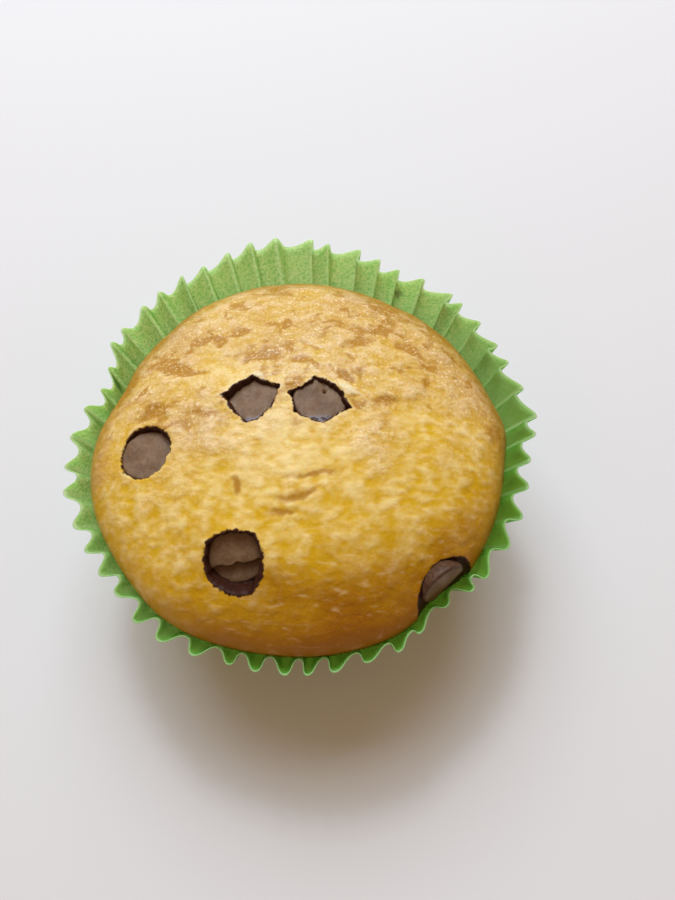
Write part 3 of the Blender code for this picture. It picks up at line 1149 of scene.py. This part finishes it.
def floor_material(stage):
    material, nodes, shader = new_material("plain_floor")
    where = nodes.add("ShaderNodeTexCoord", {}, {}, output="Object")
    grain = nodes.noise(where, 1.2 * MM, 3.0, 0.7)
    bump = nodes.add(
        "ShaderNodeBump", {}, {"Strength": 0.15, "Distance": 0.1 * MM, "Height": grain}
    )
    nodes.feed(shader, {
        "Base Color": tuple(stage.floor_colour),
        "Roughness": 0.85,
        "Normal": bump,
        "Specular IOR Level": 0.2,
    })
    return material


def area_light(name, place, target, size, power, colour):
    light = bpy.data.lights.new(name, "AREA")
    light.shape = "RECTANGLE"
    light.size, light.size_y = size
    light.energy = power
    light.color = colour
    lamp = bpy.data.objects.new(name, light)
    lamp.location = place
    lamp.rotation_euler = (target - place).to_track_quat("-Z", "Y").to_euler()
    bpy.context.scene.collection.objects.link(lamp)


class MUFFIN_OT_stage(bpy.types.Operator):
    """Lay the floor, set the lights and aim the camera"""

    bl_idname = "muffin.stage"
    bl_label = "Stage"

    def execute(self, context):
        scene = context.scene
        stage = scene.muffin_stage
        half = FLOOR_REACH
        mesh = bpy.data.meshes.new("floor")
        corners = [(-half, -half, 0), (half, -half, 0), (half, half, 0), (-half, half, 0)]
        mesh.from_pydata(corners, [], [(0, 1, 2, 3)])
        mesh.materials.append(floor_material(stage))
        floor = bpy.data.objects.new("floor", mesh)
        scene.collection.objects.link(floor)

        middle = Vector((0.0, 0.0, 0.02))
        power = stage.key_power
        area_light("window", WINDOW_PLACE, middle, WINDOW_SIZE, power * WINDOW_SHARE, COOL_LIGHT)
        area_light(
            "bright_sky", WINDOW_PLACE * 1.1, middle, BRIGHT_SKY_SIZE, power * BRIGHT_SKY_SHARE,
            COOL_LIGHT,
        )

        world = bpy.data.worlds.new("sky")
        world.use_nodes = True
        background = world.node_tree.nodes["Background"]
        background.inputs["Color"].default_value = WARM_ROOM
        background.inputs["Strength"].default_value = stage.sky_strength
        scene.world = world

        lens = bpy.data.cameras.new("camera")
        lens.lens = stage.focal_length
        lens.clip_start = 1.0 * MM
        camera = bpy.data.objects.new("camera", lens)
        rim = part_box("paper_case")[1][2]
        target = Vector((*CAMERA_TARGET, rim - TARGET_BELOW_RIM))
        back = Vector((0.0, -math.cos(CAMERA_ELEVATION), math.sin(CAMERA_ELEVATION)))
        camera.location = target + CAMERA_DISTANCE * back
        camera.rotation_euler = (math.pi / 2 - CAMERA_ELEVATION, 0.0, 0.0)
        scene.collection.objects.link(camera)
        scene.camera = camera
        scene.view_settings.view_transform = "Standard"
        return {"FINISHED"}


class MUFFIN_PT_panel(bpy.types.Panel):
    """Sizes, colours and the buttons that build each piece"""

    bl_label = "Muffin"
    bl_idname = "MUFFIN_PT_panel"
    bl_space_type = "VIEW_3D"
    bl_region_type = "UI"
    bl_category = "Muffin"

    def draw(self, context):
        for group, operator in STEPS:
            box = self.layout.box()
            box.operator(operator)
            settings = getattr(context.scene, group)
            for name in settings.bl_rna.properties.keys():
                if name not in {"rna_type", "name"}:
                    box.prop(settings, name)


STEPS = (
    ("muffin_case", "muffin.case"),
    ("muffin_crumb", "muffin.crumb"),
    ("muffin_chips", "muffin.chips"),
    ("muffin_stage", "muffin.stage"),
)
GROUPS = {
    "muffin_case": CaseSettings,
    "muffin_crumb": CrumbSettings,
    "muffin_chips": ChipSettings,
    "muffin_stage": StageSettings,
}
CLASSES = (
    *GROUPS.values(), MUFFIN_OT_case, MUFFIN_OT_crumb, MUFFIN_OT_chips, MUFFIN_OT_stage,
    MUFFIN_PT_panel,
)


def register():
    for cls in CLASSES:
        bpy.utils.register_class(cls)
    for name, group in GROUPS.items():
        setattr(bpy.types.Scene, name, PointerProperty(type=group))


def unregister():
    for name in GROUPS:
        delattr(bpy.types.Scene, name)
    for cls in reversed(CLASSES):
        bpy.utils.unregister_class(cls)


def main():
    register()
    bpy.ops.muffin.case()
    bpy.ops.muffin.crumb()
    bpy.ops.muffin.chips()
    bpy.ops.muffin.stage()


if __name__ == "__main__":
    main()
